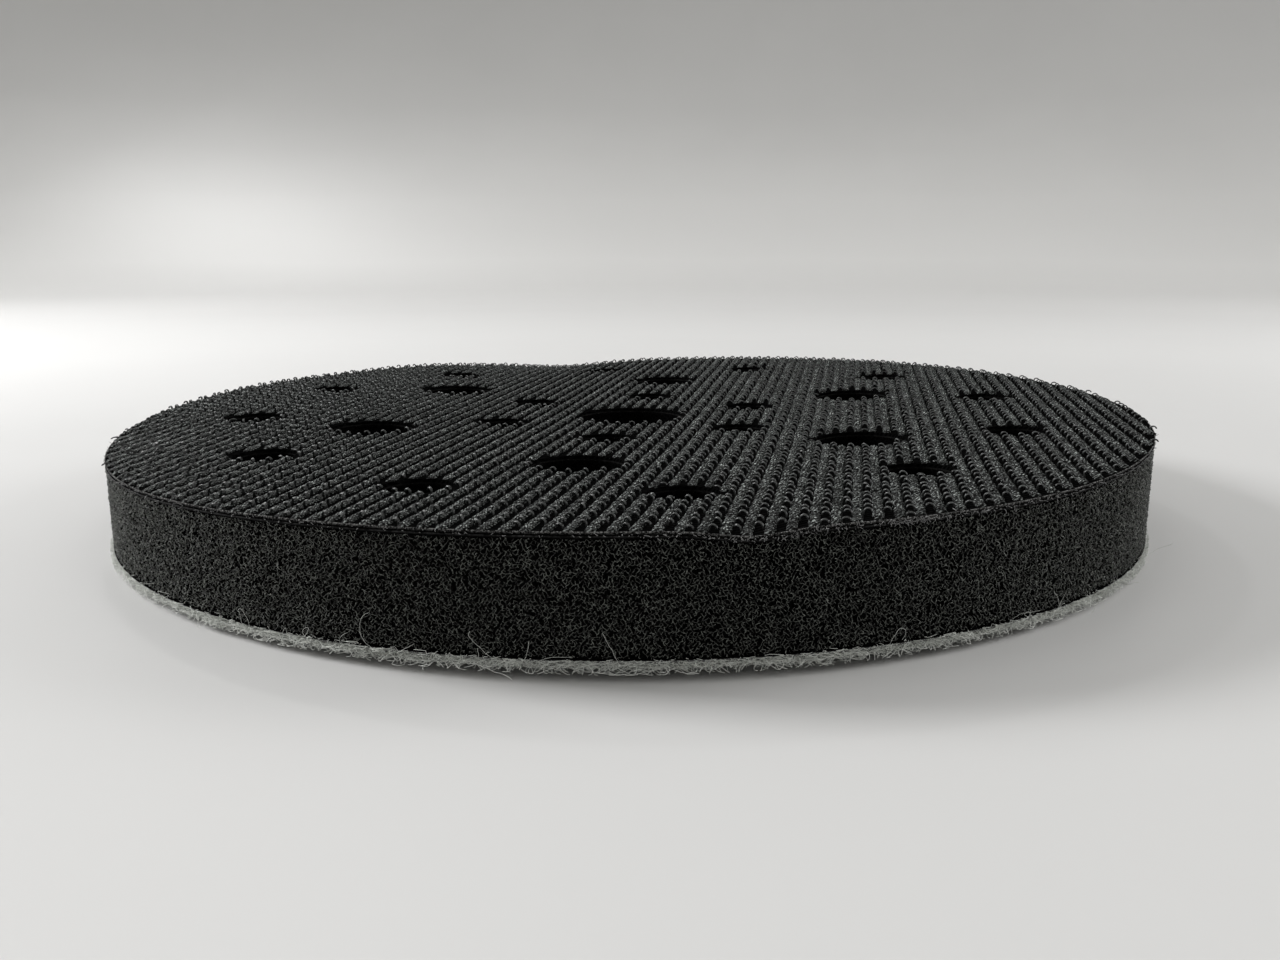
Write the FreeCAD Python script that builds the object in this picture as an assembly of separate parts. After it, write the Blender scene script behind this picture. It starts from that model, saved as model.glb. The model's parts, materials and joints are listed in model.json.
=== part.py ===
import FreeCAD, Part

import math
import os

# Soft interface pad for a 150 mm random-orbit polisher.
#
# The pad is a flat sandwich, punched right through for dust. From the bottom up it is a brushed
# loop cloth, a foam disc and a woven hook cloth, with a thin film of glue between each pair.
# Every part of the stack is its own solid.
#
# Frame, in millimetres: the origin is the middle of the loop face that the pad lies on, +Z goes
# up through the hook face, and +Y passes through one of the six holes of the middle ring.

# ---- overall sizes ----------------------------------------------------------------------------
PAD_DIAMETER = 150.0
FOAM_THICKNESS = 12.0

# ---- loop cloth, the face that grips the machine's backing plate --------------------------------
LOOP_PILE_HEIGHT = 0.7
LOOP_CLOTH_THICKNESS = 0.3

# ---- glue films -----------------------------------------------------------------------------------
FILM_THICKNESS = 0.1

# ---- hook cloth, the face that holds the polishing disc -------------------------------------------
BACK_COATING_THICKNESS = 0.1
HOOK_CLOTH_THICKNESS = 0.4
HOOK_HEIGHT = 0.9
HOOK_COLUMN_WIDTH = 0.42
HOOK_COLUMN_GAP = 0.08
ROW_PITCH = 2.0
ROW_DIRECTION = 88.0
RIB_HEIGHT = 0.35
RIB_CLEARANCE = 0.07
# what is left of a row beside a hole falls away when it is shorter than this
SHORTEST_ROW_PIECE = 1.0

# ---- dust holes: hole diameter, pitch circle, number, angle of the first hole ---------------------
CENTRE_HOLE_DIAMETER = 17.0

INNER_HOLE_DIAMETER = 8.0
INNER_PITCH_CIRCLE = 41.0
INNER_COUNT = 6
INNER_FIRST_ANGLE = 30.0

MIDDLE_HOLE_DIAMETER = 12.0
MIDDLE_PITCH_CIRCLE = 80.0
MIDDLE_COUNT = 6
MIDDLE_FIRST_ANGLE = 30.0

OUTER_HOLE_DIAMETER = 8.0
OUTER_PITCH_CIRCLE = 115.0
OUTER_COUNT = 12
OUTER_FIRST_ANGLE = 15.0

UP = FreeCAD.Vector(0, 0, 1)

# a rib fills what the two columns of hooks leave of each row
HOOK_BAND_WIDTH = 2 * HOOK_COLUMN_WIDTH + HOOK_COLUMN_GAP
RIB_WIDTH = ROW_PITCH - HOOK_BAND_WIDTH - 2 * RIB_CLEARANCE


def ring_of_holes(diameter, pitch_circle, count, first_angle):
    """The holes of one ring, each as x, y and radius."""
    holes = []
    for index in range(count):
        angle = math.radians(first_angle + 360.0 * index / count)
        x = 0.5 * pitch_circle * math.cos(angle)
        y = 0.5 * pitch_circle * math.sin(angle)
        holes.append((x, y, 0.5 * diameter))
    return holes


def dust_holes():
    """Every hole that the punch makes, each as x, y and radius."""
    holes = [(0.0, 0.0, 0.5 * CENTRE_HOLE_DIAMETER)]
    holes += ring_of_holes(INNER_HOLE_DIAMETER, INNER_PITCH_CIRCLE, INNER_COUNT, INNER_FIRST_ANGLE)
    holes += ring_of_holes(MIDDLE_HOLE_DIAMETER, MIDDLE_PITCH_CIRCLE, MIDDLE_COUNT, MIDDLE_FIRST_ANGLE)
    holes += ring_of_holes(OUTER_HOLE_DIAMETER, OUTER_PITCH_CIRCLE, OUTER_COUNT, OUTER_FIRST_ANGLE)
    return holes


def circle_wire(x, y, radius, z):
    return Part.Wire(Part.makeCircle(radius, FreeCAD.Vector(x, y, z), UP))


def punched_outline(z):
    """The pad's flat outline at height z: the disc with every dust hole in it."""
    outline = Part.Face(circle_wire(0, 0, 0.5 * PAD_DIAMETER, z))
    punches = [Part.Face(circle_wire(x, y, radius, z)) for x, y, radius in dust_holes()]
    return outline.cut(Part.Compound(punches)).Faces[0]


def layer(z, thickness):
    """One punched layer of the sandwich, from z upwards."""
    return punched_outline(z).extrude(thickness * UP)


def strips_along_rows(z, height, width, sideways):
    """One strip in each row of the hook cloth, cut by the rim and by the holes.

    sideways is how far the strip lies from the middle of its row.
    """
    outline = punched_outline(z)
    half_rows = int(0.5 * PAD_DIAMETER / ROW_PITCH)
    strips = []
    for row in range(-half_rows, half_rows + 1):
        near_edge = row * ROW_PITCH + sideways - 0.5 * width
        if max(abs(near_edge), abs(near_edge + width)) >= 0.5 * PAD_DIAMETER:
            continue
        corner = FreeCAD.Vector(-0.5 * PAD_DIAMETER, near_edge, z)
        strip = Part.makePlane(PAD_DIAMETER, width, corner, UP)
        strip.rotate(FreeCAD.Vector(0, 0, 0), UP, ROW_DIRECTION)
        for piece in strip.common(outline).Faces:
            if piece.Area >= SHORTEST_ROW_PIECE * width:
                strips.append(piece.extrude(height * UP))
    return Part.Compound(strips)


def save(node, shape):
    shape.exportStep(os.path.join("parts", node + ".step"))
    print(f"{node}: {len(shape.Solids)} solids, {shape.Volume:.1f} mm3, valid {shape.isValid()}")


def main():
    os.makedirs("parts", exist_ok=True)

    # the flat layers, from the loop face upwards
    z = 0.0
    for node, thickness in [
        ("loop_pile", LOOP_PILE_HEIGHT),
        ("loop_ground_cloth", LOOP_CLOTH_THICKNESS),
        ("loop_glue_film", FILM_THICKNESS),
        ("foam_core", FOAM_THICKNESS),
        ("hook_glue_film", FILM_THICKNESS),
        ("hook_back_coating", BACK_COATING_THICKNESS),
        ("hook_ground_cloth", HOOK_CLOTH_THICKNESS),
    ]:
        save(node, layer(z, thickness))
        z += thickness

    # two staggered columns of hooks in each row, and a flat woven rib between the rows
    to_column = 0.5 * (HOOK_COLUMN_WIDTH + HOOK_COLUMN_GAP)
    save("hook_column_left", strips_along_rows(z, HOOK_HEIGHT, HOOK_COLUMN_WIDTH, to_column))
    save("hook_column_right", strips_along_rows(z, HOOK_HEIGHT, HOOK_COLUMN_WIDTH, -to_column))
    save("woven_rib", strips_along_rows(z, RIB_HEIGHT, RIB_WIDTH, 0.5 * ROW_PITCH))


main()
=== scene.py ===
"""A 150 mm soft interface pad lying on a pale studio floor with its hook face up.

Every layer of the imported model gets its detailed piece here: the woven hook cloth with its ribs and
bent filaments, the open-cell foam with its net of struts, and the brushed loop cloth with its fibres.
The flat stack is then laid down as the real pad lies, a little lifted at its front and back and wavy.
"""

import json
import math

import bpy
import numpy as np
from mathutils import Matrix, Vector, noise
from mathutils.geometry import delaunay_2d_cdt


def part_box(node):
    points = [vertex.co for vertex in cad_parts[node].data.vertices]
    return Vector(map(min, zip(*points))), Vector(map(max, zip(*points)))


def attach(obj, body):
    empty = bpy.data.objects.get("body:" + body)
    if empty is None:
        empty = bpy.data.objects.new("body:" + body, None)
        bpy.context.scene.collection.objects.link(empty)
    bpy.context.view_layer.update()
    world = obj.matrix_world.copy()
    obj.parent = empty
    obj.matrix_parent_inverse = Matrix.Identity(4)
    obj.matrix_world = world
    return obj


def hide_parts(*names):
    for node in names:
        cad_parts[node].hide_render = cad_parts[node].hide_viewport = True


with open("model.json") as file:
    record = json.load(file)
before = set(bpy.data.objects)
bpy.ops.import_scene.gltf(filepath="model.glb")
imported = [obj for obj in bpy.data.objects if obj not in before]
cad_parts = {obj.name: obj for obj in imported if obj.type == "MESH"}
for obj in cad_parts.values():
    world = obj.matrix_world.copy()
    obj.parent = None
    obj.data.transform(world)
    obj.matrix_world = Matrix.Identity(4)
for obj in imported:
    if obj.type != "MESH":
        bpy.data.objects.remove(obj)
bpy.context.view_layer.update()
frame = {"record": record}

MM = 0.001
RANDOM = np.random.default_rng(7)

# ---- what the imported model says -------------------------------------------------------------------

RECORD = frame["record"]
MOUNTS = {mount["name"]: mount for mount in RECORD["mounts"]}
PAD_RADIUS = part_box("foam_core")[1].x

LOOP_LOW, LOOP_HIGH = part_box("loop_pile")[0].z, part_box("loop_pile")[1].z
KNIT_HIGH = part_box("loop_ground_cloth")[1].z
FOAM_LOW, FOAM_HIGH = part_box("foam_core")[0].z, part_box("foam_core")[1].z
CLOTH_LOW, CLOTH_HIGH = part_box("hook_ground_cloth")[0].z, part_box("hook_ground_cloth")[1].z
HOOK_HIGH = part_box("hook_column_left")[1].z
RIB_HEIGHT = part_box("woven_rib")[1].z - CLOTH_HIGH


def dust_holes():
    """Every hole of the pad as x, y and radius, from the mounts and the openings of the record."""
    holes = [(0.0, 0.0, MOUNTS["centre_hole"]["dims"]["r_mm"] * MM)]
    for opening in RECORD["physics"]["openings"]:
        ring = opening["name"].split("_dust_hole_")[0]
        radius = MOUNTS[ring + "_dust_ring"]["dims"]["hole_r_mm"] * MM
        low, high = opening["box_m"]
        holes.append((0.5 * (low[0] + high[0]), 0.5 * (low[1] + high[1]), radius))
    return np.array(holes)


HOLES = dust_holes()

# ---- how the pad lies -----------------------------------------------------------------------------

# The shape is stated in directions as the viewer stands: across and away from them.
VIEWER_TURN = math.radians(10.0)
LIFT_FRONT_AND_BACK = 1.09 * MM
ARCH_ACROSS, ARCH_AWAY = 4.63 * MM, 1.94 * MM
TILT = 1.1 * MM
THREE_FOLD_WAVE = 0.47 * MM
FOUR_FOLD_WAVE = -0.2 * MM
SAG_INSIDE = 0.58 * MM
#        angle round the rim, depth, width
CREASES = [
    (math.radians(-82.0), 0.7 * MM, 4.4 * MM),
    (math.radians(101.0), 1.0 * MM, 11.0 * MM),
    (math.radians(127.0), -0.5 * MM, 14.0 * MM),
]


def as_viewed(x, y):
    """Row-frame x and y turned to the viewer's across and away, as shares of the radius."""
    c, s = math.cos(VIEWER_TURN), math.sin(VIEWER_TURN)
    return (x * c + y * s) / PAD_RADIUS, (y * c - x * s) / PAD_RADIUS


def laid_down(points):
    """Flat pad points moved to where the soft pad really lies."""
    x, y, z = points[:, 0], points[:, 1], points[:, 2]
    a, b = as_viewed(x, y)
    r2 = a * a + b * b
    arch = ARCH_ACROSS * a * a * (1 - 0.83 * r2) + ARCH_AWAY * b * b * (1 - 0.77 * r2)
    waves = THREE_FOLD_WAVE * (3 * a * a * b - b**3) + 4 * FOUR_FOLD_WAVE * a * b * (a * a - b * b)
    top = arch + waves + TILT * a * r2 - SAG_INSIDE * (1 - r2**4)
    for angle, depth, width in CREASES:
        gap2 = (a - math.cos(angle)) ** 2 + (b - math.sin(angle)) ** 2
        top -= depth * np.exp(-gap2 * (PAD_RADIUS / width) ** 2)
    bottom = LIFT_FRONT_AND_BACK * b * b
    share = np.clip((z - FOAM_LOW) / (FOAM_HIGH - FOAM_LOW), 0, 1)
    moved = points.copy()
    moved[:, 2] = z + bottom + (top - bottom) * share
    return moved


# ---- mesh making ----------------------------------------------------------------------------------


def make_piece(name, points, faces, material, node=None, smooth=True, lit=None):
    """One mesh piece from points and arrays of faces, laid down and riding on the pad.

    lit says for each point, from 0 to 1, how much of its colour it keeps: painted shade darkens the points
    that sit down in the dark between the yarns.
    """
    mesh = bpy.data.meshes.new(name)
    mesh.vertices.add(len(points))
    mesh.vertices.foreach_set("co", laid_down(points).astype(np.float32).ravel())
    corners = np.concatenate([rows.ravel() for rows in faces])
    sizes = np.concatenate([np.full(len(rows), rows.shape[1]) for rows in faces])
    mesh.loops.add(len(corners))
    mesh.loops.foreach_set("vertex_index", corners.astype(np.int32))
    mesh.polygons.add(len(sizes))
    mesh.polygons.foreach_set("loop_start", (np.cumsum(sizes) - sizes).astype(np.int32))
    mesh.polygons.foreach_set("use_smooth", np.full(len(sizes), smooth))
    mesh.update(calc_edges=True)
    if lit is not None:
        mesh.attributes.new("lit", "FLOAT", "POINT").data.foreach_set("value", lit.astype(np.float32))
    mesh.validate()
    mesh.materials.append(material)
    piece = bpy.data.objects.new(name, mesh)
    bpy.context.scene.collection.objects.link(piece)
    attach(piece, "root")
    if node:
        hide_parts(node)
    return piece


def circle(x, y, radius, count):
    angle = np.arange(count) * 2 * np.pi / count
    return np.stack([x + radius * np.cos(angle), y + radius * np.sin(angle)], 1)


def clear_of_holes(xy, margin, rim_margin):
    """Which points are on the cloth, by at least a margin from each hole and from the rim."""
    kept = np.hypot(xy[:, 0], xy[:, 1]) < PAD_RADIUS - rim_margin
    for x, y, radius in HOLES:
        kept &= np.hypot(xy[:, 0] - x, xy[:, 1] - y) > radius + margin
    return kept


def punched_net(spacing, rim_count):
    """The pad's outline as points, triangles and edge loops, the rim first."""
    loops = [circle(0, 0, PAD_RADIUS, rim_count)]
    edge_step = 0.55 * spacing
    for x, y, radius in HOLES:
        loops.append(circle(x, y, radius, max(24, int(2 * math.pi * radius / edge_step))))
    half = int(PAD_RADIUS / spacing) + 1
    line = np.arange(-half, half + 1) * spacing
    grid = np.stack(np.meshgrid(line, line), -1).reshape(-1, 2)
    grid[:, 0] += 0.5 * spacing * (np.round(grid[:, 1] / spacing) % 2)
    grid = grid[clear_of_holes(grid, 0.5 * spacing, 0.5 * spacing)]
    points = np.concatenate(loops + [grid])
    edges, rings, start = [], [], 0
    for loop in loops:
        ring = np.arange(start, start + len(loop))
        rings.append(ring)
        edges += list(zip(ring.tolist(), np.roll(ring, -1).tolist()))
        start += len(loop)
    made = delaunay_2d_cdt([Vector(p) for p in points], edges, [], 0, 1e-9)
    triangles = np.array([f for f in made[2] if len(f) == 3])
    flat = np.array([tuple(v) for v in made[0]])
    middle = flat[triangles].mean(1)
    triangles = triangles[clear_of_holes(middle, 0, 0)]
    return flat, triangles, rings


def punched_layer(net, low, high, wall_rows=1):
    """A closed layer of the sandwich: its points, its faces, and each wall's point numbers."""
    flat, triangles, rings = net
    count = len(flat)
    bottom = np.column_stack([flat, np.full(count, low)])
    top = np.column_stack([flat, np.full(count, high)])
    points, walls, quads = [bottom, top], [], []
    start = 2 * count
    for number, ring in enumerate(rings):
        levels = [ring]
        for row in range(1, wall_rows):
            height = low + (high - low) * row / wall_rows
            points.append(np.column_stack([flat[ring], np.full(len(ring), height)]))
            levels.append(np.arange(start, start + len(ring)))
            start += len(ring)
        levels.append(ring + count)
        wall = np.array(levels)
        walls.append(wall)
        ahead = np.roll(wall, -1, axis=1)
        sides = [wall[:-1], ahead[:-1], ahead[1:], wall[1:]]
        if number > 0:
            sides.reverse()
        quads.append(np.stack(sides, -1).reshape(-1, 4))
    faces = [triangles[:, ::-1], triangles + count, np.concatenate(quads)]
    return np.concatenate(points), faces, walls


def unit(vectors):
    return vectors / np.maximum(np.linalg.norm(vectors, axis=-1, keepdims=True), 1e-12)


def tubes(paths, radii, sides):
    """Closed round tubes along many paths at once: points and faces. radii has one row a path."""
    count, steps, _ = paths.shape
    along = unit(np.gradient(paths, axis=1))
    across = np.cross(paths[:, steps // 2] - paths[:, 0], paths[:, -1] - paths[:, 0])
    across += 1e-9 * np.array([0.31, 0.87, 0.39])
    normal = unit(across)[:, None, :]
    side = unit(np.cross(along, normal))
    up = np.cross(side, along)
    turn = np.arange(sides) * 2 * np.pi / sides
    ring = side[:, :, None] * np.cos(turn)[:, None] + up[:, :, None] * np.sin(turn)[:, None]
    points = (paths[:, :, None] + ring * radii[:, :, None, None]).reshape(-1, 3)
    number = np.arange(count * steps * sides).reshape(count, steps, sides)
    ahead = np.roll(number, -1, axis=2)
    quads = np.stack([number[:, :-1], number[:, 1:], ahead[:, 1:], ahead[:, :-1]], -1)
    caps = np.concatenate([number[:, 0], number[:, -1, ::-1]])
    return points, [quads.reshape(-1, 4), caps]


# ---- materials ------------------------------------------------------------------------------------


class Nodes:
    """A short way to write a procedural material."""

    def __init__(self, name, roughness, specular, sheen=0.0, sheen_roughness=0.5):
        self.material = bpy.data.materials.new(name)
        self.material.use_nodes = True
        self.tree = self.material.node_tree
        self.shader = self.tree.nodes["Principled BSDF"]
        self.shader.inputs["Roughness"].default_value = roughness
        self.shader.inputs["Specular IOR Level"].default_value = specular
        self.shader.inputs["Sheen Weight"].default_value = sheen
        self.shader.inputs["Sheen Roughness"].default_value = sheen_roughness
        self.place = self.tree.nodes.new("ShaderNodeTexCoord").outputs["Object"]

    def node(self, kind, inputs=(), **settings):
        made = self.tree.nodes.new(kind)
        for key, value in settings.items():
            setattr(made, key, value)
        for key, value in dict(inputs).items():
            if isinstance(value, bpy.types.NodeSocket):
                self.tree.links.new(value, made.inputs[key])
            else:
                made.inputs[key].default_value = value
        return made

    def noise(self, size, detail=3.0, rough=0.55, distortion=0.0):
        """Cloudy noise whose lumps are about size metres across."""
        inputs = {"Vector": self.place, "Scale": 1 / size, "Detail": detail}
        inputs.update({"Roughness": rough, "Distortion": distortion})
        return self.node("ShaderNodeTexNoise", inputs).outputs["Fac"]

    def cells(self, size, vector):
        """How far a point is from the walls between cells of that size."""
        inputs = {"Vector": vector, "Scale": 1 / size}
        made = self.node("ShaderNodeTexVoronoi", inputs, feature="DISTANCE_TO_EDGE")
        return made.outputs["Distance"]

    def math(self, operation, first, second=0.0):
        return self.node("ShaderNodeMath", {0: first, 1: second}, operation=operation).outputs[0]

    def lit(self, darkest):
        """Painted shade: from darkest to 1, as the piece's points stand out of the dark between the yarns.
        """
        share = self.node("ShaderNodeAttribute", attribute_name="lit").outputs["Fac"]
        inputs = {"Value": share, "To Min": darkest, "To Max": 1.0}
        return self.node("ShaderNodeMapRange", inputs).outputs["Result"]

    def dimmed(self, colour, share):
        """A colour times a number."""
        made = self.node("ShaderNodeVectorMath", {0: colour}, operation="SCALE")
        self.tree.links.new(share, made.inputs["Scale"])
        return made.outputs[0]

    def reach(self):
        """How far a point is from the middle of the pad, seen from above."""
        flat = self.node("ShaderNodeVectorMath", {0: self.place, 1: (1.0, 1.0, 0.0)}, operation="MULTIPLY")
        return self.node("ShaderNodeVectorMath", {0: flat.outputs[0]}, operation="LENGTH").outputs["Value"]

    def near_rim(self):
        """0 inside the pad and 1 on its outer cut edge."""
        inputs = {"Value": self.reach()}
        inputs["From Min"], inputs["From Max"] = PAD_RADIUS - 0.15 * MM, PAD_RADIUS - 0.02 * MM
        return self.node("ShaderNodeMapRange", inputs).outputs["Result"]

    def ramp(self, value, stops):
        """Colours at places from 0 to 1, as (place, colour) pairs."""
        made = self.node("ShaderNodeValToRGB", {"Fac": value})
        points = made.color_ramp.elements
        while len(points) < len(stops):
            points.new(0.5)
        for point, (place, colour) in zip(points, stops):
            point.position = place
            point.color = (*colour, 1.0)
        return made.outputs["Color"]

    def colour(self, socket):
        self.tree.links.new(socket, self.shader.inputs["Base Color"])

    def rough(self, value, low, high):
        inputs = {"Value": value, "To Min": low, "To Max": high}
        made = self.node("ShaderNodeMapRange", inputs)
        self.tree.links.new(made.outputs["Result"], self.shader.inputs["Roughness"])

    def bump(self, height, distance, strength=1.0):
        made = self.node("ShaderNodeBump", {"Height": height, "Strength": strength, "Distance": distance})
        self.tree.links.new(made.outputs["Normal"], self.shader.inputs["Normal"])


def grey(value, warm=0.0):
    """A near-neutral colour, a little warm or cool."""
    return (value * (1 + warm), value, value * (1 - warm))


def foam_material():
    """Black open-cell foam: painted shade darkens the pits inside a thin lighter net of struts."""
    m = Nodes("foam_black", 0.9, 0.0)
    bend = m.node("ShaderNodeTexNoise", {"Vector": m.place, "Scale": 1 / (0.6 * MM), "Detail": 2.0})
    shift = m.node(
        "ShaderNodeVectorMath", {0: bend.outputs["Color"], 1: (0.35 * MM,) * 3}, operation="MULTIPLY"
    )
    place = m.node(
        "ShaderNodeVectorMath", {0: m.place, 1: shift.outputs["Vector"]}, operation="ADD"
    ).outputs["Vector"]
    edge = m.cells(0.5 * MM, place)
    fine = m.cells(0.27 * MM, place)
    strut = m.math("MULTIPLY", m.math("MINIMUM", edge, m.math("ADD", fine, 0.07)), 4.0)
    # painted shade: near-black in the middle of each cell, a little lighter along its walls
    m.colour(m.ramp(strut, [(0.0, grey(0.005, 0.02)), (0.25, grey(0.002)), (0.7, grey(0.0007))]))
    m.rough(strut, 0.5, 0.95)
    m.bump(m.math("SUBTRACT", 1.0, strut), 0.12 * MM, 0.9)
    return m.material


def strut_material():
    """The foam's own struts where they catch the light."""
    m = Nodes("foam_struts", 0.45, 0.35, sheen=0.1, sheen_roughness=0.35)
    m.colour(m.ramp(m.noise(0.35 * MM, 2.0), [(0.40, grey(0.012, 0.03)), (0.66, (0.25, 0.265, 0.24))]))
    m.rough(m.noise(0.3 * MM), 0.32, 0.6)
    m.bump(m.noise(0.06 * MM), 0.01 * MM, 0.6)
    return m.material


def filament_material():
    """Black nylon monofilament, smooth and mottled at random; painted shade darkens each hook towards its
    foot, so its bend is the lightest part.
    """
    m = Nodes("nylon_filament", 0.3, 0.42)
    worn = m.ramp(m.noise(0.5 * MM, 3.0), [(0.35, grey(0.01)), (0.65, (0.064, 0.07, 0.068))])
    # painted shade from lit: dark at the foot of the hook, full tone at its top
    m.colour(m.dimmed(worn, m.lit(0.02)))
    m.rough(m.noise(0.35 * MM), 0.16, 0.42)
    m.bump(m.noise(0.08 * MM), 0.006 * MM, 0.5)
    return m.material


def twill(m, size):
    """Diagonal twisted yarns of that size, along the rows of the cloth."""
    turned = m.node("ShaderNodeVectorRotate", {"Vector": m.place, "Angle": -ROW_DIRECTION}).outputs[0]
    inputs = {"Vector": turned, "Scale": 1 / (6.28 * size), "Distortion": 2.0, "Detail": 2.0}
    inputs["Detail Scale"] = 2.0
    return m.node("ShaderNodeTexWave", inputs, wave_type="BANDS", bands_direction="DIAGONAL").outputs["Fac"]


def rib_material():
    """The flat rib of spun yarn between two rows of hooks."""
    m = Nodes("rib_yarn", 0.6, 0.1)
    yarn = twill(m, 0.16 * MM)
    fleck = m.noise(0.2 * MM, 3.0, 0.7)
    mixed = m.math("ADD", m.math("MULTIPLY", yarn, 0.2), m.math("MULTIPLY", fleck, 0.8))
    # the palest flecks are paler fibres brightened with painted glints
    spun = m.ramp(mixed, [(0.42, grey(0.004)), (0.53, grey(0.045)), (0.65, (0.585, 0.63, 0.61))])
    # painted shade from lit: darker between the yarns and at the rib ends beside the holes
    m.colour(m.dimmed(spun, m.lit(0.03)))
    m.rough(fleck, 0.45, 0.8)
    m.bump(mixed, 0.07 * MM, 0.9)
    return m.material


def ground_material():
    """The dark ground under the hooks, its dark yarn deepened with painted shade; its outer cut edge is
    flecked with frayed weft, with painted light at its top and painted shade below.
    """
    m = Nodes("ground_weave", 0.9, 0.0)
    yarn = twill(m, 0.22 * MM)
    # near-black: the dark yarn deepened with painted shade under the hooks
    shaded_ground = m.ramp(yarn, [(0.2, grey(0.0008)), (0.8, grey(0.004))])
    # pale flecks of frayed weft on the cut edge, brightened with painted light
    cut = m.ramp(m.noise(0.2 * MM, 3.0, 0.7), [(0.44, grey(0.004)), (0.64, grey(0.34, 0.01))])
    # painted shade down the cut edge: pale at its top, fading to dark at its lower face
    cut = m.dimmed(cut, m.math("POWER", m.lit(0.0), 3.0))
    m.colour(m.node("ShaderNodeMix", {0: m.near_rim(), 6: shaded_ground, 7: cut}, data_type="RGBA").outputs[2])
    m.rough(m.noise(0.3 * MM), 0.55, 0.85)
    m.bump(yarn, 0.06 * MM, 0.8)
    return m.material


def coating_material(name, low, high, frayed):
    """A thin layer of resin or glue, seen only at its cut edge, which is frayed paler in patches."""
    m = Nodes(name, 0.7, 0.04)
    inside = m.ramp(m.noise(0.8 * MM, 4.0), [(0.35, low), (0.7, high)])
    torn = m.ramp(m.noise(0.8 * MM, 5.0, 0.7), [(0.44, low), (0.68, frayed)])
    m.colour(m.node("ShaderNodeMix", {0: m.near_rim(), 6: inside, 7: torn}, data_type="RGBA").outputs[2])
    m.rough(m.noise(0.5 * MM), 0.35, 0.65)
    m.bump(m.noise(0.2 * MM), 0.02 * MM, 0.6)
    return m.material


def fibre_material(name, low, high, size):
    """Pale crimped fibres."""
    m = Nodes(name, 0.65, 0.3, sheen=0.4, sheen_roughness=0.4)
    m.colour(m.ramp(m.noise(size, 4.0, 0.6), [(0.3, low), (0.7, high)]))
    m.rough(m.noise(0.3 * MM), 0.5, 0.85)
    m.bump(m.noise(0.07 * MM, 4.0, 0.7, 1.5), 0.04 * MM, 0.8)
    return m.material


def stage_material():
    """The pale studio floor, faintly uneven, with painted light and shade: darker round the pad, lightest
    where it starts to sweep up, darker up the wall.
    """
    m = Nodes("studio_floor", 0.45, 0.35)
    cloud = m.math("MULTIPLY", m.math("SUBTRACT", m.noise(0.25, 3.0), 0.5), 0.06)
    out = m.math("ADD", m.math("DIVIDE", m.reach(), 1.4), cloud)
    #         place on the way out from the middle of the floor to the top of the wall, shade holding
    #         painted light and shade
    painted_shading = [
        (0.10, 0.585), (0.21, 0.65), (0.33, 0.68), (0.56, 0.86), (0.645, 0.90),
        (0.755, 0.82), (0.81, 0.74), (0.862, 0.655), (0.904, 0.61), (0.94, 0.57),
    ]
    m.colour(m.ramp(out, [(place, grey(shade, 0.004)) for place, shade in painted_shading]))
    m.rough(m.noise(0.05), 0.4, 0.5)
    return m.material


# ---- the hook cloth -------------------------------------------------------------------------------

ROW_DIRECTION = math.radians(88.0)
ROW_PITCH = 2.0 * MM
HOOK_PITCH = 4.22 * MM
HOOK_FOOT_OFFSET = 0.37 * MM
FILAMENT_RADIUS = 0.08 * MM
# each hook is two strands, one on either side of its foot
STRAND_SPREAD = 0.13 * MM
HOOK_STEPS, HOOK_SIDES = 9, 5
# how far the plane of a hook is turned from square to its row, in radians
HOOK_TURN = 0.5
RIB_WIDTH = 0.94 * MM
FLOAT_PITCH, FLOAT_LAY, FLOAT_RADIUS = 0.36 * MM, 0.7 * MM, 0.1 * MM
FLOAT_SIDES = 4
# hooks and ribs are lower this near to a hole, and ribs are darkened there with painted shade
HOLE_MARGIN = 0.7 * MM

ALONG_ROW = np.array([math.cos(ROW_DIRECTION), math.sin(ROW_DIRECTION)])
ACROSS_ROW = np.array([-math.sin(ROW_DIRECTION), math.cos(ROW_DIRECTION)])
HALF_ROWS = int(PAD_RADIUS / ROW_PITCH)


def hook_feet(sideways, half_step):
    """Where the hooks of one column stand, over the whole cloth."""
    feet = []
    half_count = int(PAD_RADIUS / HOOK_PITCH) + 1
    for row in range(-HALF_ROWS, HALF_ROWS + 1):
        stagger = 0.25 * (row % 2) + 0.5 * half_step
        along = (np.arange(-half_count, half_count + 1) + stagger) * HOOK_PITCH
        across = np.full(len(along), row * ROW_PITCH + sideways)
        feet.append(along[:, None] * ALONG_ROW + across[:, None] * ACROSS_ROW)
    feet = np.concatenate(feet)
    feet = feet + RANDOM.normal(0, 0.05 * MM, feet.shape)
    return feet[clear_of_holes(feet, 0.05 * MM, 0.25 * MM)]


def crushed_share(feet):
    """From 0 to 1, how flattened the hooks are: worn down at the near left rim."""
    a, b = as_viewed(feet[:, 0], feet[:, 1])
    angle = np.arctan2(b, a)
    near = np.exp(-(((angle + math.radians(158.0)) / 0.32) ** 2))
    return near * np.clip((np.hypot(a, b) - 0.72) / 0.2, 0, 1)


def room_at_holes(feet):
    """From 0 at the edge of a hole to 1 beyond its margin."""
    nearest = np.full(len(feet), PAD_RADIUS)
    for x, y, radius in HOLES:
        nearest = np.minimum(nearest, np.hypot(feet[:, 0] - x, feet[:, 1] - y) - radius)
    return np.clip(nearest / HOLE_MARGIN, 0, 1)


def rib_share(points):
    """How much of its height a rib keeps there."""
    return 0.35 + 0.65 * room_at_holes(points)


def rib_light(points):
    """Painted shade at the rib ends beside a hole: from 0 there to 1 a little way off."""
    return np.clip(room_at_holes(points) * 5 - 0.4, 0, 1)


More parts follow.
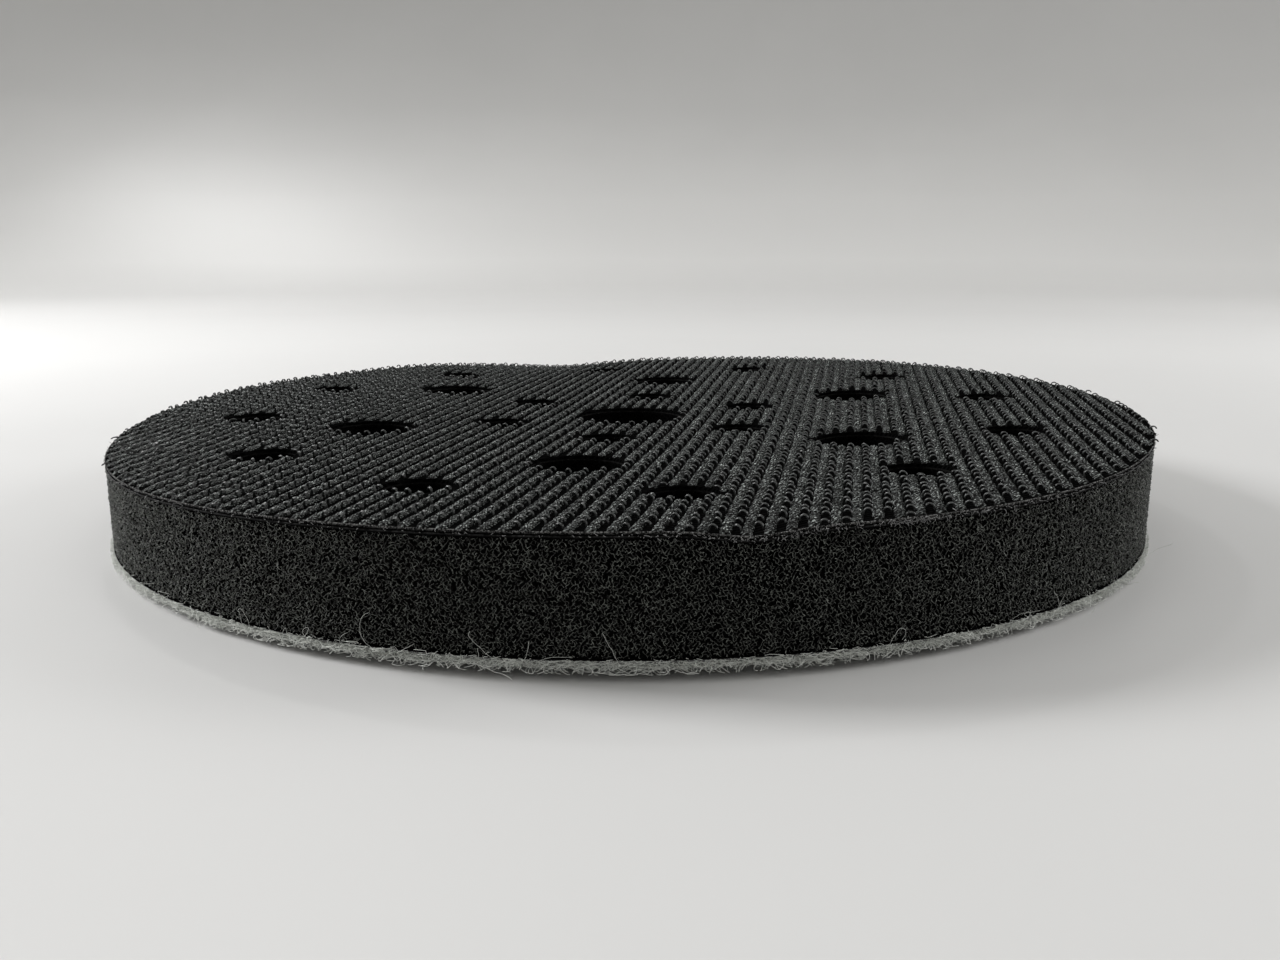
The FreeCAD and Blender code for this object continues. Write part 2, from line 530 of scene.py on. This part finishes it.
def hook_paths(feet, lean):
    """One bent filament for each foot: up, over towards the row's other side, and down to a cut end."""
    count = len(feet)
    height = (HOOK_HIGH - CLOTH_HIGH) * (1 + RANDOM.uniform(-0.07, 0.0, count)) - FILAMENT_RADIUS
    # worn lower over the last 2 mm to the rim, and beside the holes
    height *= 1 - 0.4 * np.clip((np.hypot(feet[:, 0], feet[:, 1]) - PAD_RADIUS) / (2 * MM) + 1, 0, 1)
    height *= 0.45 + 0.55 * room_at_holes(feet)
    #          across      up     of a hook that leans to +across
    shape = [
        (-0.02, -0.12), (-0.07, 0.35), (-0.02, 0.72), (0.2, 0.97), (0.5, 1.0), (0.72, 0.8), (0.77, 0.5),
    ]
    crush = crushed_share(feet)
    swing = HOOK_TURN + RANDOM.normal(0, 0.16, count) + RANDOM.normal(0, 1.4, count) * crush
    tip = RANDOM.normal(0, 0.10, count) + RANDOM.normal(0, 0.5, count) * crush
    paths = np.zeros((count, len(shape), 3))
    for number, (out, up) in enumerate(shape):
        reach = out * MM * lean * np.ones(count)
        rise = up * height * (1 - 0.45 * crush)
        forward = reach * np.sin(swing) + rise * tip
        sideways = reach * np.cos(swing) + rise * tip * 0.4
        paths[:, number, :2] = feet + sideways[:, None] * ACROSS_ROW + forward[:, None] * ALONG_ROW
        paths[:, number, 2] = CLOTH_HIGH + rise
    return paths


def smooth_paths(paths, steps):
    """The same curves with more points, each span rounded by its neighbours."""
    count = paths.shape[1]
    place = np.linspace(0, count - 1, steps)
    base = np.clip(place.astype(int), 0, count - 2)
    t = (place - base)[None, :, None]
    before, start = paths[:, np.maximum(base - 1, 0)], paths[:, base]
    end, after = paths[:, base + 1], paths[:, np.minimum(base + 2, count - 1)]
    return 0.5 * (
        2 * start
        + (end - before) * t
        + (2 * before - 5 * start + 4 * end - after) * t**2
        + (3 * start - before - 3 * end + after) * t**3
    )


def make_hooks(material):
    """Both columns of hooks, each as two pieces, which are the left and right halves of the pad."""
    pieces = []
    for side, sign, half_step in [("left", 1, 0), ("right", -1, 1)]:
        feet = hook_feet(sign * HOOK_FOOT_OFFSET, half_step)
        paths = smooth_paths(hook_paths(feet, -sign), HOOK_STEPS)
        apart = np.append(ALONG_ROW, 0.0) * STRAND_SPREAD
        paths = np.concatenate([paths - apart, paths + apart])
        feet = np.concatenate([feet, feet])
        on_right = feet[:, 0] > 0
        for half, chosen in [("a", ~on_right), ("b", on_right)]:
            radii = np.full(paths[chosen].shape[:2], FILAMENT_RADIUS)
            points, faces = tubes(paths[chosen], radii, HOOK_SIDES)
            rise = (paths[chosen][:, :, 2] - CLOTH_HIGH) / (HOOK_HIGH - CLOTH_HIGH)
            # painted shade: each hook is darkest at its foot and lightest at its top
            lit = np.clip(rise / 0.85, 0, 1) ** 1.8
            name = f"hooks_{side}_{half}"
            made = make_piece(
                name, points, faces, material, f"hook_column_{side}",
                lit=np.repeat(lit.ravel(), HOOK_SIDES),
            )
            pieces.append(made)
    return pieces


def row_spans(offset, half_width):
    """The stretches of a line along the rows, at that offset, that lie on the cloth."""
    reach = PAD_RADIUS**2 - (abs(offset) + half_width) ** 2
    if reach <= 0:
        return []
    spans = [(-math.sqrt(reach), math.sqrt(reach))]
    for x, y, radius in HOLES:
        across = x * ACROSS_ROW[0] + y * ACROSS_ROW[1]
        along = x * ALONG_ROW[0] + y * ALONG_ROW[1]
        miss = max(0.0, abs(across - offset) - half_width)
        if miss >= radius:
            continue
        half = math.sqrt(radius**2 - miss**2)
        cut = []
        for low, high in spans:
            cut += [(low, min(high, along - half)), (max(low, along + half), high)]
        spans = [(low, high) for low, high in cut if high - low > 0.4 * MM]
    return spans


def rib_strip(offset, low, high):
    """One raised woven rib: a crowned strip whose yarns bulge between the wefts."""
    steps = max(3, int((high - low) / (0.55 * MM)))
    along = np.linspace(low, high, steps)
    #        across, height as shares of the half width and the rib's height
    section = [(-1.2, -0.4), (-0.9, 0.3), (-0.42, 0.62), (0.36, 0.66), (0.88, 0.35), (1.2, -0.4)]
    points = []
    for across, height in section:
        wave = np.sin(2 * np.pi * (along / (1.055 * MM) + 0.5 * across)) * (0.16 if height > 0 else 0)
        wander = 0.03 * MM * np.sin(along / (0.9 * MM) + offset * 9000)
        sideways = offset + across * 0.5 * RIB_WIDTH + wander
        xy = along[:, None] * ALONG_ROW + sideways[:, None] * ACROSS_ROW
        z = CLOTH_HIGH + RIB_HEIGHT * (height + wave) * rib_share(xy)
        points.append(np.column_stack([xy, z]))
    points = np.stack(points, 1)
    number = np.arange(steps * len(section)).reshape(steps, len(section))
    ahead = np.roll(number, -1, axis=1)
    quads = np.stack([number[:-1], number[1:], ahead[1:], ahead[:-1]], -1).reshape(-1, 4)
    caps = np.stack([number[0], number[-1][::-1]])
    return points.reshape(-1, 3), quads, caps


def rib_floats(offset, low, high):
    """The yarns that cross one rib on the slant, side by side along it, as rows of path points."""
    count = max(1, int((high - low) / FLOAT_PITCH))
    start = low + (np.arange(count) + 0.5) * (high - low) / count
    #        across, along, up as shares of the half width, the lay and the height
    course = [
        (-1.25, -0.5, 0.2), (-0.8, -0.3, 0.6), (0.0, 0.0, 0.8), (0.8, 0.3, 0.6), (1.25, 0.5, 0.2),
    ]
    paths = np.zeros((count, len(course), 3))
    lay = FLOAT_LAY * (1 + RANDOM.normal(0, 0.12, count))
    swell = 1 + RANDOM.normal(0, 0.17, count)
    for number, (across, along, up) in enumerate(course):
        stray = 0.07 if abs(across) > 1 else 0.03
        sideways = offset + across * (0.5 * RIB_WIDTH - FLOAT_RADIUS)
        sideways = sideways + RANDOM.normal(0, stray * MM, count)
        forward = np.clip(start + along * lay, low, high)
        xy = forward[:, None] * ALONG_ROW + sideways[:, None] * ACROSS_ROW
        paths[:, number, :2] = xy
        rise = up * swell * rib_share(xy) * (RIB_HEIGHT + 0.04 * MM)
        paths[:, number, 2] = CLOTH_HIGH + rise - 0.3 * FLOAT_RADIUS
    return paths


def make_rib_floats(material):
    """The slanting yarns of all the ribs, in quarters."""
    paths = []
    for row in range(-HALF_ROWS, HALF_ROWS + 1):
        offset = (row + 0.5) * ROW_PITCH
        for low, high in row_spans(offset, 0.5 * RIB_WIDTH):
            paths.append(rib_floats(offset, low, high))
    paths = np.concatenate(paths)
    quarter = 2 * (paths[:, 2, 0] > 0) + (paths[:, 2, 1] > 0)
    pieces = []
    for number in range(4):
        chosen = paths[quarter == number]
        radii = FLOAT_RADIUS * (1 + RANDOM.uniform(-0.15, 0.15, chosen.shape[:2]))
        points, faces = tubes(chosen, radii, FLOAT_SIDES)
        tone = 0.34 * RANDOM.lognormal(0, 0.45, (len(chosen), 1))
        tone = tone * RANDOM.lognormal(0, 0.65, chosen.shape[:2])
        # random tone along each yarn, times painted shade at the rib ends beside the holes
        lit = np.repeat(np.clip(tone.ravel(), 0, 1) * rib_light(chosen.reshape(-1, 3)), FLOAT_SIDES)
        name = f"rib_yarns_{number + 1}"
        made = make_piece(name, points, faces, material, "woven_rib", lit=lit)
        pieces.append(made)
    return pieces


def make_ribs(material):
    """The ribs as two pieces, the left and right halves of the pad."""
    pieces = []
    halves = {"a": [], "b": []}
    for row in range(-HALF_ROWS, HALF_ROWS + 1):
        offset = (row + 0.5) * ROW_PITCH
        for low, high in row_spans(offset, 0.5 * RIB_WIDTH):
            halves["a" if offset > 0 else "b"].append(rib_strip(offset, low, high))
    for half, strips in halves.items():
        start, points, quads, caps = 0, [], [], []
        for strip_points, strip_quads, strip_caps in strips:
            points.append(strip_points)
            quads.append(strip_quads + start)
            caps.append(strip_caps + start)
            start += len(strip_points)
        faces = [np.concatenate(quads), np.concatenate(caps)]
        name = f"ribs_{half}"
        points = np.concatenate(points)
        # painted shade: the strips under the slanting yarns keep only 0.4 of their tone, less beside the
        # holes
        lit = 0.4 * rib_light(points)
        pieces.append(make_piece(name, points, faces, material, "woven_rib", lit=lit))
    return pieces


# ---- the foam -------------------------------------------------------------------------------------


def make_foam(material):
    """The foam disc. Its cut walls are torn a little unevenly."""
    net = punched_net(2.6 * MM, 1500)
    points, faces, walls = punched_layer(net, FOAM_LOW, FOAM_HIGH, 32)
    outward = unit(np.column_stack([points[:, :2], np.zeros(len(points))]))
    for number, wall in enumerate(walls):
        inner = wall[1:-1].ravel()
        for i in inner:
            p = Vector(points[i])
            lump = noise.noise(p / (1.6 * MM)) * 0.10 + noise.noise(p / (0.5 * MM)) * 0.09
            if number == 0:
                points[i] += outward[i] * (lump - 0.42) * MM
            else:
                x, y, radius = HOLES[number - 1]
                away = unit(np.array([points[i][0] - x, points[i][1] - y, 0.0]))
                points[i] += away * (lump + 0.1) * MM
    return make_piece("foam_body", points, faces, material, "foam_core")


def make_foam_net(material):
    """The lighter struts on the foam's outer wall: a jittered six-sided net, in four quarters."""
    cell = 0.38 * MM
    columns = 4 * round(2 * math.pi * PAD_RADIUS / cell / 4)
    rows = int((FOAM_HIGH - FOAM_LOW) / (0.87 * cell))
    row, column = np.meshgrid(np.arange(rows), np.arange(columns), indexing="ij")
    step = 2 * math.pi / columns
    z_step = (FOAM_HIGH - FOAM_LOW) / rows
    angle = np.zeros((rows, columns, 2))
    z = np.zeros((rows, columns, 2))
    for corner in (0, 1):
        angle[..., corner] = (column + 0.5 * (row % 2)) * step
        z[..., corner] = FOAM_LOW + (row + 0.33 + 0.34 * corner) * z_step
    angle += RANDOM.uniform(-0.36, 0.36, angle.shape) * step
    z += RANDOM.uniform(-0.3, 0.3, z.shape) * z_step
    z = np.clip(z, FOAM_LOW + 0.05 * MM, FOAM_HIGH - 0.05 * MM)
    out = PAD_RADIUS - RANDOM.uniform(0.02, 0.34, angle.shape) * MM
    spots = np.stack([out * np.cos(angle), out * np.sin(angle), z], -1)
    low, high = spots[:, :, 0], spots[:, :, 1]
    ahead = np.roll(low, -1, axis=1)
    upright = np.stack([low, high], 2)
    even = (np.arange(rows) % 2 == 0)[:-1, None, None]
    left_above = np.where(even, np.roll(low[1:], 1, axis=1), low[1:])
    right_above = np.where(even, low[1:], ahead[1:])
    slants = [np.stack([high[:-1], left_above], 2), np.stack([high[:-1], right_above], 2)]
    struts = np.concatenate([upright.reshape(-1, 2, 3)] + [s.reshape(-1, 2, 3) for s in slants])
    struts = struts[RANDOM.random(len(struts)) > 0.28]
    middle = struts.mean(1) + RANDOM.normal(0, 0.085 * MM, (len(struts), 3))
    paths = np.stack([struts[:, 0], middle, struts[:, 1]], 1)
    thickness = RANDOM.uniform(0.02, 0.042, len(paths)) * MM
    radii = thickness[:, None] * np.array([1.25, 0.8, 1.25])
    quarter = (np.arctan2(middle[:, 1], middle[:, 0]) // (math.pi / 4)).astype(int)
    pieces = []
    for number in sorted(set(quarter.tolist())):
        chosen = quarter == number
        points, faces = tubes(paths[chosen], radii[chosen], 3)
        name = f"foam_net_{number - quarter.min() + 1}"
        pieces.append(make_piece(name, points, faces, material, None))
    return pieces


# ---- the loop cloth -------------------------------------------------------------------------------


def curls(roots, outward, lengths, droop, steps=7, curl=0.55):
    """Curly fibres from roots, starting outward, each with its own wandering direction."""
    count = len(roots)
    paths = np.zeros((count, steps, 3))
    paths[:, 0] = roots
    heading = unit(outward + RANDOM.normal(0, 0.8 * curl, outward.shape))
    turn_axis = unit(RANDOM.normal(0, 1, outward.shape))
    bend = RANDOM.normal(0, curl, (count, 1))
    for step in range(1, steps):
        heading = heading + np.cross(turn_axis, heading) * bend
        heading = unit(heading + RANDOM.normal(0, 0.16, heading.shape))
        heading[:, 2] += droop
        heading = unit(heading)
        paths[:, step] = paths[:, step - 1] + heading * (lengths / (steps - 1))[:, None]
    return paths


def hanging_level(paths):
    """How low loose fibres may hang: below the pile where the pad is lifted off the floor."""
    _, b = as_viewed(paths[..., 0], paths[..., 1])
    return LOOP_LOW + 0.04 * MM - 0.22 * LIFT_FRONT_AND_BACK * b * b


def make_loop_pile(material, fibre):
    """The brushed pile: a soft mat and the fibres that stand out of its rim and its face."""
    net = punched_net(1.9 * MM, 900)
    points, faces, walls = punched_layer(net, LOOP_LOW, LOOP_HIGH, 3)
    for i in walls[0].ravel():
        p = Vector(points[i])
        spread = noise.noise(p / (1.1 * MM)) * 0.3 - 0.4
        points[i, :2] *= 1 + spread * MM / PAD_RADIUS
    lowest = points[:, 2] < LOOP_LOW + 1e-6
    for i in np.nonzero(lowest)[0]:
        points[i, 2] += (0.12 + 0.12 * noise.noise(Vector(points[i]) / (2.3 * MM))) * MM
    pieces = [make_piece("loop_pile_mat", points, faces, material, "loop_pile")]

    #         name, number, way out and along the rim, shortest, mean extra length, droop, curl
    for name, number, way, shortest, extra, droop, curl in [
        ("loop_fuzz", 9000, (1.0, 0.5), 0.15, 0.2, -0.02, 0.5),
        ("loop_curls", 10400, (0.16, 1.0), 0.8, 0.9, -0.03, 0.3),
    ]:
        angle = RANDOM.uniform(0, 2 * math.pi, number)
        level = RANDOM.uniform(LOOP_LOW + 0.15 * MM, KNIT_HIGH + 0.05 * MM, number)
        depth = PAD_RADIUS - RANDOM.uniform(0.15, 0.5, number) * MM
        roots = np.stack([depth * np.cos(angle), depth * np.sin(angle), level], 1)
        out = np.stack([np.cos(angle), np.sin(angle), RANDOM.normal(-0.25, 0.22, number)], 1)
        along = np.stack([-np.sin(angle), np.cos(angle), np.zeros(number)], 1)
        side = RANDOM.choice([-1.0, 1.0], number)[:, None]
        lengths = (shortest + RANDOM.gamma(2.0, 0.5 * extra, number)) * MM
        paths = curls(roots, way[0] * out + way[1] * side * along, lengths, droop, curl=curl)
        inward = np.maximum(1.0, np.hypot(paths[..., 0], paths[..., 1]) / (PAD_RADIUS + 0.45 * MM))
        paths[..., :2] /= inward[..., None]
        ceiling = KNIT_HIGH + RANDOM.gamma(1.5, 0.08, number)[:, None] * MM
        paths[:, :, 2] = np.clip(paths[:, :, 2], hanging_level(paths), ceiling)
        radii = np.full(paths.shape[:2], 0.031 * MM)
        for half in range(2):
            chosen = (angle > math.pi) == bool(half)
            points, faces = tubes(paths[chosen], radii[chosen], 3)
            pieces.append(make_piece(f"{name}_{half + 1}", points, faces, fibre, None))

    face_roots = RANDOM.uniform(-PAD_RADIUS, PAD_RADIUS, (8600, 2))
    face_roots = face_roots[clear_of_holes(face_roots, 0.2 * MM, 0.4 * MM)]
    roots = np.column_stack([face_roots, np.full(len(face_roots), LOOP_LOW + 0.3 * MM)])
    down = np.column_stack([RANDOM.normal(0, 0.6, face_roots.shape), np.full(len(roots), -0.8)])
    lengths = RANDOM.uniform(0.8, 2.0, len(roots)) * MM
    paths = curls(roots, down, lengths, 0.12, 6)
    paths[:, :, 2] = np.maximum(paths[:, :, 2], LOOP_LOW + 0.03 * MM)
    radii = np.full(paths.shape[:2], 0.03 * MM)
    points, faces = tubes(paths, radii, 3)
    pieces.append(make_piece("loop_fibres_face", points, faces, fibre, None))
    return pieces


def make_stray_hairs(fibre):
    """The few long fibres that have worked loose and lie up against the foam."""
    angle = np.concatenate([RANDOM.uniform(0, 2 * math.pi, 46), RANDOM.normal(-1.75, 0.45, 24)])
    rise = RANDOM.uniform(-0.1, 0.9, len(angle))
    outward = np.stack([0.35 * np.cos(angle), 0.35 * np.sin(angle), rise], 1)
    sideways = np.stack([-np.sin(angle), np.cos(angle), np.zeros(len(angle))], 1)
    outward += sideways * RANDOM.normal(0, 0.9, len(angle))[:, None]
    level = RANDOM.uniform(0.3, 1.0, len(angle)) * MM
    roots = np.stack([PAD_RADIUS * np.cos(angle), PAD_RADIUS * np.sin(angle), level], 1)
    lengths = RANDOM.uniform(2.0, 6.0, len(angle)) * MM
    paths = curls(roots, outward, lengths, 0.0, 12)
    clearance = np.hypot(paths[..., 0], paths[..., 1])
    push = np.maximum(1.0, (PAD_RADIUS + 0.05 * MM) / clearance)
    paths[..., :2] *= push[..., None]
    paths[..., 2] = np.maximum(paths[..., 2], LOOP_LOW + 0.05 * MM)
    radii = np.full(paths.shape[:2], 0.018 * MM)
    points, faces = tubes(paths, radii, 4)
    return make_piece("stray_hairs", points, faces, fibre, None)


def make_rim_threads(thread):
    """Frayed ends of the weft all round the cut edge of the hook cloth, thickest where it faces front."""
    spread = RANDOM.uniform(-math.pi, math.pi, 1100)
    #         middle in degrees round the rim, spread in radians, number
    tufts = [(-80.0, 0.12, 380), (-68.5, 0.04, 260), (-60.0, 0.14, 220)]
    frayed = [RANDOM.normal(math.radians(middle), width, number) for middle, width, number in tufts]
    angle = np.concatenate([spread] + frayed) + VIEWER_TURN
    tilt = RANDOM.normal(0.05, 0.35, len(angle))
    outward = np.stack([np.cos(angle), np.sin(angle), tilt], 1)
    depth = PAD_RADIUS - 0.12 * MM
    level = RANDOM.uniform(CLOTH_LOW - 0.1 * MM, CLOTH_LOW + 0.2 * MM, len(angle))
    roots = np.stack([depth * np.cos(angle), depth * np.sin(angle), level], 1)
    lengths = RANDOM.gamma(2.5, 0.11, len(angle)) * MM
    paths = curls(roots, outward, lengths, 0.0, 5)
    radii = np.full(paths.shape[:2], 0.03 * MM)
    points, faces = tubes(paths, radii, 4)
    return make_piece("rim_threads", points, faces, thread, None)


# ---- stage, light and camera ----------------------------------------------------------------------


def make_stage(material):
    """A round cove: a flat floor that sweeps up into a wall, alike from every side."""
    flat, sweep, wall = 0.75, 0.65, 0.5
    profile = [(0.0, 0.0), (0.3, 0.0), (flat, 0.0)]
    for step in range(1, 13):
        angle = 0.5 * math.pi * step / 12
        profile.append((flat + sweep * math.sin(angle), sweep * (1 - math.cos(angle))))
    profile.append((flat + sweep, sweep + wall))
    around = 96
    points, faces = [Vector((0, 0, 0))], []
    for radius, height in profile[1:]:
        for step in range(around):
            angle = 2 * math.pi * step / around
            points.append(Vector((radius * math.cos(angle), radius * math.sin(angle), height)))
    for step in range(around):
        ahead = (step + 1) % around
        faces.append((0, 1 + step, 1 + ahead))
        for ring in range(len(profile) - 2):
            low, high = 1 + ring * around, 1 + (ring + 1) * around
            faces.append((low + step, high + step, high + ahead, low + ahead))
    mesh = bpy.data.meshes.new("studio_floor")
    mesh.from_pydata(points, [], faces)
    mesh.polygons.foreach_set("use_smooth", np.full(len(mesh.polygons), True))
    mesh.materials.append(material)
    floor = bpy.data.objects.new("studio_floor", mesh)
    bpy.context.scene.collection.objects.link(floor)


def turned(across, away, up):
    """A point or direction as the viewer stands, in the row frame."""
    c, s = math.cos(VIEWER_TURN), math.sin(VIEWER_TURN)
    return Vector((across * c - away * s, across * s + away * c, up))


def make_light(name, place, size, power, colour=(1.0, 1.0, 1.0), target=(0.0, 0.0, 0.0)):
    """A soft box at a place, facing its target, which is the pad if none is given."""
    data = bpy.data.lights.new(name, "AREA")
    data.shape = "RECTANGLE"
    data.size, data.size_y = size
    data.energy = power
    data.color = colour
    light = bpy.data.objects.new(name, data)
    light.location = turned(*place)
    facing = turned(*target) - light.location
    light.rotation_euler = facing.to_track_quat("-Z", "Y").to_euler()
    light.visible_camera = False
    bpy.context.scene.collection.objects.link(light)


def make_world(strength):
    world = bpy.data.worlds.new("studio")
    world.use_nodes = True
    background = world.node_tree.nodes["Background"]
    background.inputs["Color"].default_value = (1.0, 0.995, 0.955, 1.0)
    background.inputs["Strength"].default_value = strength
    bpy.context.scene.world = world


def make_camera():
    """The camera low in front of the pad, looking slightly down at it."""
    eye = turned(-1.9 * MM, -172.2 * MM, 40.9 * MM)
    yaw, pitch, roll = math.radians(1.10), math.radians(12.45), math.radians(-0.12)
    ahead = turned(math.sin(yaw) * math.cos(pitch), math.cos(yaw) * math.cos(pitch), -math.sin(pitch))
    level = turned(math.cos(yaw), -math.sin(yaw), 0)
    upright = level.cross(ahead)
    right = math.cos(roll) * level + math.sin(roll) * upright
    up = math.cos(roll) * upright - math.sin(roll) * level
    data = bpy.data.cameras.new("camera")
    data.lens = 31.10
    data.sensor_width = 36.0
    data.clip_start = 0.01
    data.clip_end = 20.0
    camera = bpy.data.objects.new("camera", data)
    rows = [(right[i], up[i], -ahead[i], eye[i]) for i in range(3)]
    camera.matrix_world = Matrix(rows + [(0, 0, 0, 1)])
    bpy.context.scene.collection.objects.link(camera)
    bpy.context.scene.camera = camera


# ---- putting it together --------------------------------------------------------------------------

KNIT_SET_BACK = 0.25 * MM


def make_flat_layers():
    """The knitted ground, the glue films, the coating and the woven ground, each as a punched layer."""
    net = punched_net(2.2 * MM, 720)
    glue = coating_material("dark_glue", grey(0.002), grey(0.012, 0.05), grey(0.012))
    resin = coating_material("black_resin", grey(0.002), grey(0.01), grey(0.05))
    knit = fibre_material("loop_knit", grey(0.12), grey(0.26), 0.3 * MM)
    made = {}
    for name, node, slot, material in [
        ("loop_ground_knit", "loop_ground_cloth", "loop_ground_cloth", knit),
        ("loop_glue", "loop_glue_film", "glue_film", glue),
        ("hook_glue", "hook_glue_film", "glue_film", glue),
        ("hook_coating", "hook_back_coating", "back_coating", resin),
        ("hook_cloth", "hook_ground_cloth", "hook_ground_cloth", ground_material()),
    ]:
        low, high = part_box(node)
        points, faces, walls = punched_layer(net, low.z, high.z)
        if name == "loop_ground_knit":
            points[walls[0].ravel(), :2] *= 1 - KNIT_SET_BACK / PAD_RADIUS
        # lit from 0 at a layer's lower face to 1 at its upper face, which puts painted shade on the lower
        # part of the hook cloth's cut edge
        upper = (points[:, 2] > 0.5 * (low.z + high.z)).astype(float)
        made[name] = make_piece(name, points, faces, material, node, smooth=False, lit=upper)
    return made


make_stage(stage_material())
layers = make_flat_layers()
yarn = rib_material()
ribs = make_ribs(yarn) + make_rib_floats(yarn)
hooks = make_hooks(filament_material())
foam = make_foam(foam_material())
make_foam_net(strut_material())
pale_fibre = fibre_material("pale_fibre", (0.66, 0.68, 0.64), (0.86, 0.88, 0.84), 1.2 * MM)
# the pile mat is the same pale felt as its fibres, painted darker as shade inside the fuzz
shaded_pile = fibre_material("shaded_pile", (0.17, 0.178, 0.163), (0.4, 0.415, 0.385), 0.3 * MM)
pile = make_loop_pile(shaded_pile, pale_fibre)
hairs = make_stray_hairs(pale_fibre)
threads = make_rim_threads(fibre_material("weft_ends", grey(0.08), grey(0.4), 0.9 * MM))

make_light("key_left", (-0.6, 0.15, 0.36), (0.2, 0.2), 5.2)
make_light("key_right", (0.6, 0.1, 0.3), (0.25, 0.25), 1.9)
make_light("top", (0.0, -0.05, 0.9), (0.7, 0.7), 1.0)
make_light("glow_left", (-0.36, 0.86, 0.25), (0.2, 0.1), 0.18, target=(-0.33, 0.97, 0.03))
make_light("spark", (-0.25, 0.55, 0.7), (0.05, 0.05), 0.5)
make_world(0.565)
make_camera()
bpy.context.scene.view_settings.view_transform = "Standard"
